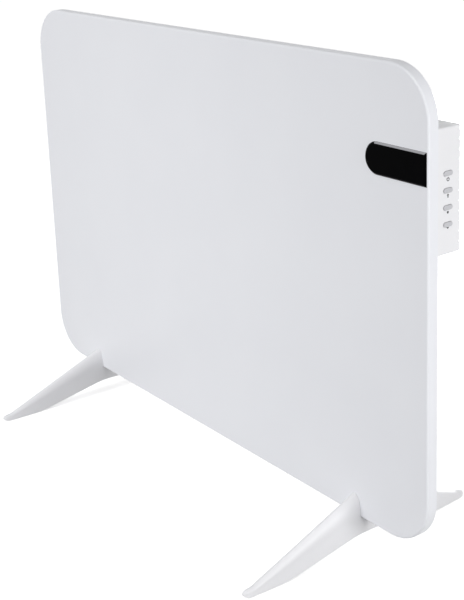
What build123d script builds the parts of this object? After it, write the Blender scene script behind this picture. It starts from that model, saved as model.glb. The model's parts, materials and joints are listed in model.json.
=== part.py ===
from build123d import *
from math import cos, pi, sin
import os

# Slim infrared panel heater on two slotted blade feet, in millimetres.
# X runs to the right seen from the front, the warm face looks towards -Y and Z is up.
# The origin lies on the floor, midway between the feet, under the middle of the panel's thickness.

# Panel: a folded steel tray, closed by a back plate that lies flush in its rim
panel_width = 900.0
panel_height = 600.0
panel_depth = 15.5
panel_corner = 65.0
edge_round = 3.0
sheet = 1.0
floor_gap = 45.0

# Rim frame welded inside the tray, which the back plate is screwed to
frame_wall = 1.0
frame_lip = 14.0
frame_depth = 10.5
back_plate_thickness = 0.9
back_plate_gap = 0.5
film_thickness = 0.8
film_margin = 14.0
felt_margin = 3.0
rim_screw_inset = 70.0
rim_screw_count_x = 5
rim_screw_pitch_z = 150.0
rim_screw_count_z = 2
rim_screw_clear = 15.0
rim_screw_radius = 1.5
rim_screw_head_radius = 2.8
rim_screw_head = 1.6
rim_screw_length = 5.0
small_side_count = 8
screw_play = 0.15
thread_play = 0.05

# Rivet nuts in the back plate that take wall brackets
wall_nut_pitch_x = 300.0
wall_nut_pitch_z = 200.0
wall_nut_side_shift = -70.0
wall_nut_bore = 2.5
wall_nut_barrel = 3.5
wall_nut_flange = 5.0
wall_nut_flange_thickness = 0.8
wall_nut_length = 7.0

# Control box on the back, near the right edge
box_width = 140.0
box_height = 152.0
box_depth = 45.8
box_inset = 8.4
box_drop = 73.9
box_corner = 2.5
box_wall = 2.5
box_base = 2.5
cover_depth = 8.3
cover_wall = 2.2
cover_round = 3.0
lip_height = 2.0
lip_wall = 1.2
lip_play = 0.15
wiring_slot_width = 24.0
wiring_slot_play = 2.0
wiring_slot_rise = 16.5
box_screw_inset = 12.0
box_screw_boss = 4.0
box_screw_boss_height = 9.0
box_screw_length = 8.0
box_screw_end_play = 1.0
cover_screw_spread = 17.0
cover_screw_inset = 8.0
cover_screw_boss = 4.0
cover_screw_length = 14.0
cover_screw_sink = 1.8

# Vent slots in the cover, one column on each side, each slot wrapping the edge
vent_count = 12
vent_pitch = 12.3
vent_height = 2.6
vent_length = 44.0
vent_wrap = 5.0
vent_centre_drop = 72.5

# Display lens stuck on the front, with the display behind a window in the tray
lens_length = 99.9
lens_height = 40.2
lens_thickness = 2.6
lens_bevel = 2.2
lens_edge_gap = 2.7
lens_drop = 116.8
display_length = 60.0
display_height = 18.0
display_depth = 7.0
display_shift = -12.0
display_window_play = 1.0
display_board_length = 70.0
display_board_height = 26.0
display_post = 2.5
display_post_spread = 24.0
board_thickness = 1.6

# Four push buttons in the right side of the control box
button_names = ("power", "up", "mode", "down")
button_pitch = 20.3
button_top_drop = 54.7
button_y = 32.5
button_length = 14.7
button_height = 6.0
button_proud = 1.0
button_travel = 0.7
button_play = 0.3
button_lip = 1.6
button_lip_thickness = 1.2
button_lip_gap = 0.2
stem_radius = 2.2
stem_length = 2.5
plunger_radius = 1.6
plunger_length = 2.7
switch_width = 6.2
switch_depth = 3.5
switch_bore_play = 0.3
switch_bore_end_play = 0.3
switch_gap = 1.0
button_board_width = 24.0
button_board_end = 16.0
button_board_post = 3.0
button_board_post_inset = 6.0

# Power board on posts in the control box
power_board_left_room = 20.0
power_board_right_room = 36.0
power_board_end_room = 26.0
power_board_post = 3.2
power_board_post_height = 5.0
power_board_post_inset = 5.0
board_screw_radius = 1.3
board_screw_head_radius = 2.5
board_screw_head = 1.4
board_screw_length = 5.0
transformer_size = (30.0, 22.0, 26.0)
transformer_core_height = 18.0
transformer_former_width = 18.0
transformer_former_depth = 19.0
transformer_at = (-20.0, 26.0)
relay_size = (19.0, 16.0, 15.0)
relay_at = (22.0, -30.0)
capacitor_radius = 6.5
capacitor_height = 18.0
capacitor_at = (10.0, 8.0)
capacitor_pitch = 16.0
fuse_radius = 3.0
fuse_length = 20.0
fuse_at = (16.0, 32.0)
buzzer_radius = 6.0
buzzer_height = 7.0
buzzer_at = (-28.0, -8.0)
terminal_size = (26.0, 14.0, 13.0)
terminal_at = (-26.0, -35.0)
terminal_pitch = 10.0
terminal_entry = 6.5
terminal_screw_well = 3.5
tilt_switch_size = (13.0, 14.0, 20.0)
tilt_switch_gap = 2.0
sensor_radius = 3.0
sensor_height = 12.0
sensor_shift = 30.0

# Cord inlet in the bottom of the control box
gland_bore = 3.7
gland_barrel = 6.5
gland_flange = 9.5
gland_flange_thickness = 2.5
gland_nut = 9.5
gland_nut_thickness = 4.0
gland_y = 27.0

# Heating film connections beside the control box
notch_margin = 8.0
film_notch_gap = 6.0
felt_notch_gap = 32.0
tab_size = (7.0, 4.0, 7.0)
tab_gap = 5.0
tab_pitch = 10.0
lead_radius = 1.2
lead_bend = 4.0
cutout_radius = 8.0
cutout_height = 7.0
cutout_rise = 52.0
cutout_inset = 12.0
cutout_blade = (4.0, 2.5, 0.8)
cutout_blade_spread = 4.0

# Legs: hollow moulded blades with a slot for the panel's lower edge
leg_length = 388.0
leg_inset = 129.5
leg_base_half = 16.6
leg_shoulder_half = 11.1
leg_shoulder_height = 49.0
leg_ridge_height = 76.0
leg_toe_base_half = 6.3
leg_toe_shoulder_half = 5.0
leg_toe_shoulder_height = 5.4
leg_toe_ridge_height = 10.2
leg_ridge_flat_count = 6
leg_nose = 14.0
leg_nose_step_count = 5
leg_nose_rise = 5.0
leg_arch = 25.4
leg_arch_half_span = 127.0
leg_arch_round = 130.0
leg_wall = 2.5
leg_hollow = 112.0
leg_rib = 1.8
leg_rib_pitch = 28.0
leg_slot_gap = 0.2
leg_slot_floor = 3.5
leg_screw_spread = 6.0
leg_screw_radius = 2.0
leg_screw_head_radius = 3.5
leg_screw_head = 2.6
leg_screw_length = 13.0
leg_nut_length = 28.0
leg_nut_width = 9.0
leg_nut_height = 5.0
pad_length = 30.0
pad_width = 8.0
pad_thickness = 1.6
pad_proud = 0.6
pad_centre = 154.0

# Places that follow from the sizes
front = -panel_depth / 2
rear = panel_depth / 2
panel_bottom = floor_gap
panel_top = floor_gap + panel_height
panel_middle = floor_gap + panel_height / 2
panel_right = panel_width / 2
sheet_inner = front + sheet
film_rear = sheet_inner + film_thickness
plate_front = rear - back_plate_thickness
lip_front = plate_front - frame_wall
box_right = panel_right - box_inset
box_left = box_right - box_width
box_x = box_right - box_width / 2
box_top = panel_top - box_drop
box_bottom = box_top - box_height
box_z = box_top - box_height / 2
box_rear = rear + box_depth
seam = box_rear - cover_depth
box_floor = rear + box_base
lens_x = panel_right - lens_edge_gap - lens_length / 2
lens_z = panel_top - lens_drop
display_x = lens_x + display_shift
display_board_front = front + display_depth
display_board_rear = display_board_front + board_thickness
board_front = box_floor + power_board_post_height
board_rear = board_front + board_thickness
power_board_width = box_width - power_board_left_room - power_board_right_room
power_board_height = box_height - 2 * power_board_end_room
board_x = box_left + power_board_left_room + power_board_width / 2
wall_inner = box_right - box_wall
button_lip_outer = wall_inner - button_lip_gap
stem_start = button_lip_outer - button_lip_thickness
plunger_start = stem_start - stem_length
switch_face = plunger_start - switch_gap
switch_back = switch_face - switch_depth
switch_bore_depth = plunger_length - switch_gap + button_travel + switch_bore_end_play
button_zs = [box_top - button_top_drop - button_pitch * i for i in range(len(button_names))]
button_board_z = (button_zs[0] + button_zs[-1]) / 2
button_board_height = button_zs[0] - button_zs[-1] + 2 * button_board_end
leg_reach = leg_length / 2
leg_x = panel_right - leg_inset
heel = pad_proud
wiring_z = box_bottom + wiring_slot_rise
wiring_x = board_x + terminal_at[0]

# Screw forms: shank radius, shank length, head radius and head height
rim_screw_form = (rim_screw_radius, rim_screw_length, rim_screw_head_radius, rim_screw_head)
tapped_radius = rim_screw_radius - thread_play
box_screw_form = (tapped_radius, box_screw_length, rim_screw_head_radius, rim_screw_head)
cover_screw_form = (tapped_radius, cover_screw_length, rim_screw_head_radius, rim_screw_head)
board_tapped_radius = board_screw_radius - thread_play
board_screw_form = (board_tapped_radius, board_screw_length, board_screw_head_radius, board_screw_head)
leg_screw_form = (leg_screw_radius, leg_screw_length, leg_screw_head_radius, leg_screw_head)

os.makedirs("parts", exist_ok=True)


def upright(outline, y_front, y_back, x=0.0, z=0.0):
    """A plate that stands up: the outline lies in X and Z, the thickness runs along Y."""
    plane = Plane(origin=(x, y_back, z), x_dir=(1, 0, 0), z_dir=(0, -1, 0))
    return extrude(plane * outline, amount=y_back - y_front)


def sideways(outline, x_left, x_right, y=0.0, z=0.0):
    """A plate across X: the outline lies in Y and Z, the thickness runs along X."""
    plane = Plane(origin=(x_left, y, z), x_dir=(0, 1, 0), z_dir=(1, 0, 0))
    return extrude(plane * outline, amount=x_right - x_left)


def level(outline, z_low, z_high, x=0.0, y=0.0):
    """A flat plate: the outline lies in X and Y, the thickness runs along Z."""
    return extrude(Pos(x, y, z_low) * outline, amount=z_high - z_low)


def write(name, *shapes):
    """One STEP file per node: one solid, or several equal ones that stay separate."""
    solids = [solid for shape in shapes for solid in shape.solids()]
    export_step(solids[0] if len(solids) == 1 else Compound(children=solids), f"parts/{name}.step")


def rim_screw_places():
    """Where the back plate's screws go: along both long sides and both short ones."""
    drop = sheet + frame_wall + frame_lip / 2
    reach = panel_right - rim_screw_inset
    pitch = 2 * reach / (rim_screw_count_x - 1)
    places = []
    for side in (-1, 1):
        z = panel_middle + side * (panel_height / 2 - drop)
        places += [(i * pitch - reach, z) for i in range(rim_screw_count_x)]
        x = side * (panel_right - drop)
        first = box_bottom - rim_screw_clear
        places += [(x, first - i * rim_screw_pitch_z) for i in range(rim_screw_count_z)]
    return places


def wall_nut_places():
    """The four rivet nuts stand in a rectangle on the back, to the left of the control box."""
    return [
        (wall_nut_side_shift + sx * wall_nut_pitch_x / 2, panel_middle + sz * wall_nut_pitch_z / 2)
        for sx in (-1, 1)
        for sz in (-1, 1)
    ]


def box_corner_places(inset):
    """The four corners inside the control box, in X and Z."""
    return [
        (box_x + sx * (box_width / 2 - inset), box_z + sz * (box_height / 2 - inset))
        for sx in (-1, 1)
        for sz in (-1, 1)
    ]


def cover_screw_places():
    """Two screws above and two below, between the columns of vent slots."""
    return [
        (box_x + sx * cover_screw_spread, box_z + sz * (box_height / 2 - cover_screw_inset))
        for sx in (-1, 1)
        for sz in (-1, 1)
    ]


def power_board_places():
    """The power board's corner screws."""
    reach_x = power_board_width / 2 - power_board_post_inset
    reach_z = power_board_height / 2 - power_board_post_inset
    return [(board_x + sx * reach_x, box_z + sz * reach_z) for sx in (-1, 1) for sz in (-1, 1)]


def small_round(radius):
    """Outline of a small screw, post or hole: an octagon whose corners lie on the radius."""
    return RegularPolygon(radius, small_side_count)


def drill(shape, places, radius, y_front, y_back):
    """Screw holes along Y at the places given."""
    for x, z in places:
        shape -= upright(small_round(radius), y_front, y_back, x, z)
    return shape


def screw(radius, length, head_radius, head, plane):
    """A pan-head screw: its head's underside lies on the plane, its shank runs along the plane's normal."""
    body = extrude(plane * small_round(radius), amount=length)
    return body + extrude(plane * small_round(head_radius), amount=-head)


def plate_screws(form, seat_y, normal_y, places):
    """Equal screws along Y, whose heads sit on a plate's face."""
    planes = [Plane(origin=(x, seat_y, z), x_dir=(1, 0, 0), z_dir=(0, normal_y, 0)) for x, z in places]
    return [screw(*form, plane) for plane in planes]


def lens_outline():
    """Straight at the panel's edge and half round at the other end."""
    end = lens_height / 2
    bar = Pos(end / 2, 0) * Rectangle(lens_length - end, lens_height)
    return bar + Pos(end - lens_length / 2, 0) * Circle(end)


def panel_outline(inset):
    """The panel's own outline, set in by the same distance all round."""
    return RectangleRounded(panel_width - 2 * inset, panel_height - 2 * inset, panel_corner - inset)


def make_front_panel():
    """Deep-drawn steel tray with a soft front edge, the display window and the legs' screw holes."""
    tray = upright(panel_outline(0), front, rear, 0, panel_middle)
    tray = fillet(tray.edges().group_by(Axis.Y)[0], edge_round)
    hollow = upright(panel_outline(sheet), sheet_inner, rear, 0, panel_middle)
    hollow = chamfer(hollow.edges().group_by(Axis.Y)[0], edge_round - sheet)
    tray -= hollow
    window = Rectangle(display_length + 2 * display_window_play, display_height + 2 * display_window_play)
    tray -= upright(window, front, sheet_inner, display_x, lens_z)
    return drill_leg_holes(tray, leg_screw_radius + screw_play, panel_bottom, panel_bottom + sheet)


def drill_leg_holes(shape, radius, z_low, z_high):
    """The holes for both legs' screws, along Z."""
    for side in (-1, 1):
        for spread in (-leg_screw_spread, leg_screw_spread):
            shape -= level(small_round(radius), z_low, z_high, side * leg_x + spread, 0)
    return shape


def make_rim_frame():
    """Angle strip rolled to the tray's outline: one leg on the rim, one facing the back plate."""
    wall = panel_outline(sheet + frame_wall)
    opening = panel_outline(sheet + frame_wall + frame_lip)
    ring = upright(panel_outline(sheet), plate_front - frame_depth, plate_front, 0, panel_middle)
    ring -= upright(wall, plate_front - frame_depth, lip_front, 0, panel_middle)
    ring -= upright(opening, lip_front, plate_front, 0, panel_middle)
    ring = drill(ring, rim_screw_places(), rim_screw_radius + screw_play, lip_front, plate_front)
    low = panel_bottom + sheet
    return drill_leg_holes(ring, leg_screw_radius + screw_play, low, low + frame_wall)


def control_notch(shape, gap):
    """Cut away all that lies in front of the control box, from the gap beside it to the rim."""
    left = box_left - gap
    width = panel_right - left
    height = box_height + 2 * notch_margin
    return shape - upright(Rectangle(width, height), front, rear, left + width / 2, box_z)


def make_heating_film():
    """Carbon heating film bonded to the inside of the warm face."""
    film = upright(panel_outline(sheet + film_margin), sheet_inner, film_rear, 0, panel_middle)
    return control_notch(film, film_notch_gap)


def make_felt():
    """Insulation felt that the back plate presses on the film, inside the lip of the rim frame."""
    outline = panel_outline(sheet + frame_wall + frame_lip + felt_margin)
    felt = upright(outline, film_rear, plate_front, 0, panel_middle)
    felt = control_notch(felt, felt_notch_gap)
    return drill(felt, wall_nut_places(), wall_nut_barrel + felt_margin, film_rear, plate_front)


def make_nut_bar(side):
    """Steel bar on the frame's lower leg, with two threaded holes that the leg's screws pull on."""
    low = panel_bottom + sheet + frame_wall
    high = low + leg_nut_height
    middle = (film_rear + lip_front) / 2
    bar = level(Rectangle(leg_nut_length, leg_nut_width), low, high, side * leg_x, middle)
    return drill_leg_holes(bar, leg_screw_radius + thread_play, low, high)


def cut_wiring_slot(shape, y_front, y_back):
    """The slot that the element's leads pass through on their way to the power board."""
    slot = Rectangle(wiring_slot_width, tab_pitch + 2 * (lead_radius + wiring_slot_play))
    return shape - upright(slot, y_front, y_back, wiring_x, wiring_z)


def make_back_plate():
    """Flat steel plate, flush in the rim, with a window for the display board and a slot for the leads."""
    plate = upright(panel_outline(sheet + back_plate_gap), plate_front, rear, 0, panel_middle)
    screws = rim_screw_places() + box_corner_places(box_screw_inset)
    plate = drill(plate, screws, rim_screw_radius + screw_play, plate_front, rear)
    plate = drill(plate, wall_nut_places(), wall_nut_barrel, plate_front, rear)
    window = Rectangle(display_board_length, display_board_height)
    plate -= upright(window, plate_front, rear, display_x, lens_z)
    return cut_wiring_slot(plate, plate_front, rear)


def make_rivet_nut(x, z):
    """Flanged M5 rivet nut: flange on the back plate, eight-sided barrel through it, round bore."""
    flange = upright(small_round(wall_nut_flange), rear, rear + wall_nut_flange_thickness, x, z)
    barrel = upright(small_round(wall_nut_barrel), rear - wall_nut_length, rear, x, z)
    bore = upright(Circle(wall_nut_bore), rear - wall_nut_length, rear + wall_nut_flange_thickness, x, z)
    return flange + barrel - bore


def make_housing():
    """Front part of the control box: a tray on the back plate, open to the rear."""
    outline = RectangleRounded(box_width, box_height, box_corner)
    inside = Rectangle(box_width - 2 * box_wall, box_height - 2 * box_wall)
    body = upright(outline, rear, seam, box_x, box_z)
    body -= upright(inside, box_floor, seam, box_x, box_z)
    for x, z in box_corner_places(box_screw_inset):
        body += upright(small_round(box_screw_boss), rear, box_floor + box_screw_boss_height, x, z)
    for x, z in cover_screw_places():
        body += upright(small_round(cover_screw_boss), rear, seam, x, z)
    for x, z in power_board_places():
        body += upright(small_round(power_board_post), rear, board_front, x, z)
    for side in (-1, 1):
        post_x = display_x + side * display_post_spread
        body += upright(small_round(display_post), display_board_rear, rear, post_x, lens_z)
    for z in button_board_screw_zs():
        body += sideways(small_round(button_board_post), switch_back, wall_inner, button_y, z)
    box_screw_end = plate_front + box_screw_length + box_screw_end_play
    body = drill(body, box_corner_places(box_screw_inset), rim_screw_radius, rear, box_screw_end)
    body = drill(body, cover_screw_places(), rim_screw_radius, seam - cover_screw_length, seam)
    hole_depth = board_screw_length + screw_play
    body = drill(body, power_board_places(), board_screw_radius, board_rear - hole_depth, board_front)
    body = cut_wiring_slot(body, rear, box_floor)
    hole = SlotOverall(button_length + 2 * button_play, button_height + 2 * button_play)
    for z in button_zs:
        body -= sideways(hole, wall_inner, box_right, button_y, z)
    screw_end = switch_back + board_screw_length
    for z in button_board_screw_zs():
        body -= sideways(small_round(board_screw_radius), switch_back, screw_end, button_y, z)
    gland_hole = Circle(gland_barrel + screw_play)
    return body - level(gland_hole, box_bottom, box_bottom + box_wall, box_x, gland_y)


def button_board_screw_zs():
    """The button board is screwed to a post above and one below the row of buttons."""
    reach = button_board_height / 2 - button_board_post_inset
    return (button_board_z + reach, button_board_z - reach)


def make_cover():
    """Rear cover: a shallow tray with a lip into the housing, screw wells and wrapped vent slots."""
    outline = RectangleRounded(box_width, box_height, box_corner)
    body = upright(outline, seam, box_rear, box_x, box_z)
    body = fillet(body.edges().group_by(Axis.Y)[-1], cover_round)
    inside = Rectangle(box_width - 2 * cover_wall, box_height - 2 * cover_wall)
    body -= upright(inside, seam, box_rear - cover_wall, box_x, box_z)
    gap = 2 * (box_wall + lip_play)
    lip_inside = Rectangle(box_width - gap - 2 * lip_wall, box_height - gap - 2 * lip_wall)
    lip = Rectangle(box_width - gap, box_height - gap) - lip_inside
    lip_root = Rectangle(box_width - cover_wall, box_height - cover_wall) - lip_inside
    body += upright(lip_root, seam, seam + lip_height, box_x, box_z)
    body += upright(lip, seam - lip_height, seam, box_x, box_z)
    for x, z in cover_screw_places():
        body -= upright(small_round(cover_screw_boss + lip_play), seam - lip_height, seam, x, z)
    for x, z in cover_screw_places():
        body += upright(small_round(cover_screw_boss), seam, box_rear - cover_wall, x, z)
    body = drill(body, cover_screw_places(), rim_screw_radius + screw_play, seam, box_rear)
    well = rim_screw_head_radius + screw_play
    body = drill(body, cover_screw_places(), well, box_rear - cover_screw_sink, box_rear)
    return cut_vents(body)


def cut_vents(body):
    """Slots through the rear wall that run round into the side walls."""
    middle = box_top - vent_centre_drop
    across = box_width / 2 - vent_length / 2
    column = GridLocations(2 * across, vent_pitch, 2, vent_count)
    slots = Sketch() + [place * Rectangle(vent_length, vent_height) for place in column]
    body -= upright(slots, box_rear - cover_wall, box_rear, box_x, middle)
    edges = GridLocations(box_width - cover_wall, vent_pitch, 2, vent_count)
    wraps = Sketch() + [place * Rectangle(cover_wall, vent_height) for place in edges]
    return body - upright(wraps, box_rear - vent_wrap, box_rear, box_x, middle)


def make_lens():
    """Black display lens with a bevelled face, stuck on the warm face."""
    lens = upright(lens_outline(), front - lens_thickness, front, lens_x, lens_z)
    return chamfer(lens.faces().sort_by(Axis.Y)[0].edges(), lens_bevel)


def make_button(z):
    """Oval cap in the side wall, with a wider lip inside and a stem to the switch."""
    cap = SlotOverall(button_length, button_height)
    lip = Rectangle(button_length + 2 * button_lip, button_height + 2 * button_lip)
    body = sideways(cap, button_lip_outer, box_right + button_proud, button_y, z)
    body = chamfer(body.edges().group_by(Axis.X)[-1], button_proud / 2)
    body += sideways(lip, stem_start, button_lip_outer, button_y, z)
    return body + sideways(small_round(stem_radius), plunger_start, stem_start, button_y, z)


def make_plunger(z):
    """The switch's own plunger, which the button's stem stands on."""
    return sideways(small_round(plunger_radius), plunger_start - plunger_length, plunger_start, button_y, z)


def make_switch(z):
    """Case of a tact switch, bored for its plunger."""
    case = sideways(Rectangle(switch_width, switch_width), switch_back, switch_face, button_y, z)
    bore = small_round(plunger_radius + switch_bore_play)
    return case - sideways(bore, switch_face - switch_bore_depth, switch_face, button_y, z)


def make_button_board():
    """Narrow board along the side wall that carries the four switches."""
    outline = Rectangle(button_board_width, button_board_height)
    board = sideways(outline, switch_back - board_thickness, switch_back, button_y, button_board_z)
    for z in button_board_screw_zs():
        hole = small_round(board_screw_radius + screw_play)
        board -= sideways(hole, switch_back - board_thickness, switch_back, button_y, z)
    return board


def make_button_board_screw(z):
    """Screw through the button board into its post."""
    plane = Plane(origin=(switch_back - board_thickness, button_y, z), z_dir=(1, 0, 0))
    return screw(*board_screw_form, plane)


def on_board(outline, place, depth):
    """A component that stands on the rear face of the power board."""
    return upright(outline, board_rear, board_rear + depth, board_x + place[0], box_z + place[1])


def make_capacitor(i):
    """One of the two smoothing capacitors, side by side."""
    place = (capacitor_at[0] + i * capacitor_pitch, capacitor_at[1])
    return on_board(Circle(capacitor_radius), place, capacitor_height)


def make_power_board():
    """Board with holes over the housing's four posts."""
    outline = Rectangle(power_board_width, power_board_height)
    board = upright(outline, board_front, board_rear, board_x, box_z)
    return drill(board, power_board_places(), board_screw_radius + screw_play, board_front, board_rear)


def make_transformer():
    """Ferrite transformer: core, and a wider coil former across it."""
    width, depth, height = transformer_size
    core = on_board(Rectangle(width, transformer_core_height), transformer_at, depth)
    former = on_board(Rectangle(transformer_former_width, height), transformer_at, transformer_former_depth)
    return core + former


def make_terminal_block():
    """Two-way terminal block with wire entries in its lower side."""
    width, depth, height = terminal_size
    block = on_board(Rectangle(width, height), terminal_at, depth)
    block_rear = board_rear + depth
    for x in lead_xs():
        entry = small_round(lead_radius + screw_play)
        block -= level(entry, terminal_low(), terminal_low() + terminal_entry, x, lead_y())
    wells = [(x, box_z + terminal_at[1]) for x in lead_xs()]
    return drill(block, wells, lead_radius, block_rear - terminal_screw_well, block_rear)


def terminal_low():
    """Lower side of the terminal block."""
    return box_z + terminal_at[1] - terminal_size[2] / 2


def lead_xs():
    """The two leads leave the terminal block side by side."""
    centre = board_x + terminal_at[0]
    return (centre - terminal_pitch / 2, centre + terminal_pitch / 2)


def lead_y():
    """Height of the wire entries over the power board."""
    return board_rear + terminal_size[1] / 2


def tab_xz(i):
    """The two solder tabs on the film, one above the other beside the control box."""
    return (box_left - film_notch_gap - tab_gap - tab_size[0] / 2, wiring_z - tab_pitch / 2 + i * tab_pitch)


def make_tab(i):
    """Brass solder tab on the heating film."""
    x, z = tab_xz(i)
    return upright(Rectangle(tab_size[0], tab_size[2]), film_rear, film_rear + tab_size[1], x, z)


def make_lead(i):
    """Insulated lead: down from the block, forward through the wiring slot, left to its tab."""
    x = lead_xs()[1 - i]
    tab_x, tab_z = tab_xz(i)
    tab_y = film_rear + tab_size[1] / 2
    points = [
        (x, lead_y(), terminal_low() + terminal_entry),
        (x, lead_y(), tab_z),
        (x, tab_y, tab_z),
        (tab_x + tab_size[0] / 2, tab_y, tab_z),
    ]
    path = FilletPolyline(*points, radius=lead_bend)
    start = Plane(origin=points[0], x_dir=(1, 0, 0), z_dir=(0, 0, -1))
    return sweep(start * small_round(lead_radius), path=path)


def make_cutout():
    """Bimetal thermal cut-out: a round case with two blades."""
    x = box_left - film_notch_gap - cutout_inset
    z = wiring_z + cutout_rise
    case = upright(Circle(cutout_radius), film_rear, film_rear + cutout_height, x, z)
    width, length, thickness = cutout_blade
    blade_start = film_rear + cutout_height
    for side in (-1, 1):
        blade = Rectangle(width, thickness)
        case += upright(blade, blade_start, blade_start + length, x, z + side * cutout_blade_spread)
    return case


def make_fuse():
    """Glass fuse lying across the power board."""
    start = board_x + fuse_at[0] - fuse_length / 2
    y = board_rear + fuse_radius
    return sideways(small_round(fuse_radius), start, start + fuse_length, y, box_z + fuse_at[1])


def make_display_board():
    """Small board behind the display module, on two posts of the housing."""
    board = Rectangle(display_board_length, display_board_height)
    return upright(board, display_board_front, display_board_rear, display_x, lens_z)


def make_tilt_switch():
    """Tip-over switch: a ball switch in a small case on the housing's floor."""
    width, depth, height = tilt_switch_size
    x = box_left + box_wall + tilt_switch_gap + width / 2
    return upright(Rectangle(width, height), box_floor, box_floor + depth, x, box_z)


def make_sensor():
    """Room temperature sensor standing on the housing's bottom wall."""
    low = box_bottom + box_wall
    return level(small_round(sensor_radius), low, low + sensor_height, box_x + sensor_shift, gland_y)


def make_gland():
    """Cord inlet: flanged bush through the bottom wall, held by a nut inside."""
    low = box_bottom - gland_flange_thickness
    high = box_bottom + box_wall + gland_nut_thickness
    bush = level(Circle(gland_flange), low, box_bottom, box_x, gland_y)
    bush += level(Circle(gland_barrel), low, high, box_x, gland_y)
    return bush - level(Circle(gland_bore), low, high, box_x, gland_y)


def make_gland_nut():
    """Hexagon nut on the cord inlet's bush."""
    low = box_bottom + box_wall
    nut = level(RegularPolygon(gland_nut, 6), low, low + gland_nut_thickness, box_x, gland_y)
    return nut - level(Circle(gland_barrel), low, low + gland_nut_thickness, box_x, gland_y)


def leg_section(y, inset=0.0, shrink=1.0):
    """Section of a leg: flat base, leaning sides and a half-elliptic ridge in flats, smaller at the toe."""
    share = min(1.0, (y - rear) / (leg_reach - leg_nose - rear))
    base = leg_base_half + (leg_toe_base_half - leg_base_half) * share - inset
    shoulder = leg_shoulder_half + (leg_toe_shoulder_half - leg_shoulder_half) * share - inset
    middle = heel + leg_nose_rise
    low, rise, ridge = (
        middle + (height - middle) * shrink
        for height in (
            heel,
            leg_shoulder_height + (leg_toe_shoulder_height - leg_shoulder_height) * share,
            leg_ridge_height + (leg_toe_ridge_height - leg_ridge_height) * share - inset,
        )
    )
    turns = [pi * i / leg_ridge_flat_count for i in range(leg_ridge_flat_count + 1)]
    ridge_points = [(shoulder * shrink * cos(turn), rise + (ridge - rise) * sin(turn)) for turn in turns]
    outline = Polygon((-base * shrink, low), (base * shrink, low), *ridge_points, align=None)
    return Plane(origin=(0, -y, 0), x_dir=(1, 0, 0), z_dir=(0, -1, 0)) * outline


def leg_flank(inset=0.0):
    """The long straight taper from the panel's middle to the start of the toe."""
    return loft([leg_section(0.0, inset), leg_section(leg_reach - leg_nose, inset)], ruled=True)


def leg_toe():
    """The rounded end: sections that close in like an ellipse."""
    start = leg_reach - leg_nose
    turns = [pi / 2 * i / leg_nose_step_count for i in range(leg_nose_step_count)]
    return loft([leg_section(start + leg_nose * sin(turn), shrink=cos(turn)) for turn in turns], ruled=True)


def leg_arch_profile():
    """Arch under the leg: two straight flanks that meet in a wide round."""
    low = heel - leg_arch
    span = leg_arch_half_span
    corners = [(-span, low), (span, low), (span, heel), (0, heel + leg_arch), (-span, heel)]
    outline = Polygon(*corners, align=None)
    return fillet(outline.vertices().sort_by(Axis.Y)[-1], leg_arch_round)


def make_leg():
    """Moulded blade: slot for the panel, ribs inside, pockets for the rubber pads."""
    half = leg_flank() + leg_toe()
    blade = half + mirror(half, about=Plane.XZ)
    across = 4 * leg_base_half
    blade -= sideways(leg_arch_profile(), -across / 2, across / 2)
    core = leg_flank(leg_wall)
    core = core + mirror(core, about=Plane.XZ)
    core &= level(Rectangle(across, 2 * leg_hollow), heel, leg_ridge_height)
    slot_width = panel_depth + 2 * leg_slot_gap
    core -= level(
        Rectangle(across, slot_width + 2 * leg_wall), floor_gap - leg_slot_floor, leg_ridge_height
    )
    rib_count = 2 * int(leg_hollow / leg_rib_pitch)
    rows = GridLocations(0, leg_rib_pitch, 1, rib_count)
    ribs = Sketch() + [place * Rectangle(across, leg_rib) for place in rows]
    core -= level(ribs, heel, leg_ridge_height)
    leg = blade - core - level(Rectangle(across, slot_width), floor_gap, 2 * leg_ridge_height)
    for spread in (-leg_screw_spread, leg_screw_spread):
        hole = small_round(leg_screw_radius + screw_play)
        leg -= level(hole, floor_gap - leg_slot_floor, floor_gap, spread, 0)
    for end in (-1, 1):
        leg -= level(Rectangle(pad_width, pad_length), heel, pad_thickness, 0, end * pad_centre)
    return leg


def make_leg_screws(side):
    """The two screws that pull one leg against the panel's lower edge."""
    seat = floor_gap - leg_slot_floor
    places = [side * leg_x - leg_screw_spread, side * leg_x + leg_screw_spread]
    return [screw(*leg_screw_form, Plane(origin=(x, 0, seat))) for x in places]


def make_pads(side):
    """Rubber pads under the front and rear heels of one leg."""
    pad = Rectangle(pad_width, pad_length)
    return [level(pad, 0, pad_thickness, side * leg_x, end * pad_centre) for end in (-1, 1)]


write("front_panel", make_front_panel())
write("rim_frame", make_rim_frame())
write("heating_film", make_heating_film())
write("insulation_felt", make_felt())
write("back_plate", make_back_plate())
write("leg_nut_bars", make_nut_bar(-1), make_nut_bar(1))
write("wall_rivet_nuts", *[make_rivet_nut(x, z) for x, z in wall_nut_places()])
write("back_plate_screws", *plate_screws(rim_screw_form, rear, -1, rim_screw_places()))
write("film_tabs", make_tab(0), make_tab(1))
write("element_leads", make_lead(0), make_lead(1))
write("thermal_cutout", make_cutout())

write("control_housing", make_housing())
write("control_cover", make_cover())
write("housing_screws", *plate_screws(box_screw_form, plate_front, 1, box_corner_places(box_screw_inset)))
cover_screw_seat = box_rear - cover_screw_sink
write("cover_screws", *plate_screws(cover_screw_form, cover_screw_seat, -1, cover_screw_places()))
write("cord_gland", make_gland())
write("cord_gland_nut", make_gland_nut())
write("room_sensor", make_sensor())
write("tip_over_switch", make_tilt_switch())

write("display_lens", make_lens())
module = Rectangle(display_length, display_height)
write("display_module", upright(module, front, display_board_front, display_x, lens_z))
write("display_board", make_display_board())

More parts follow.
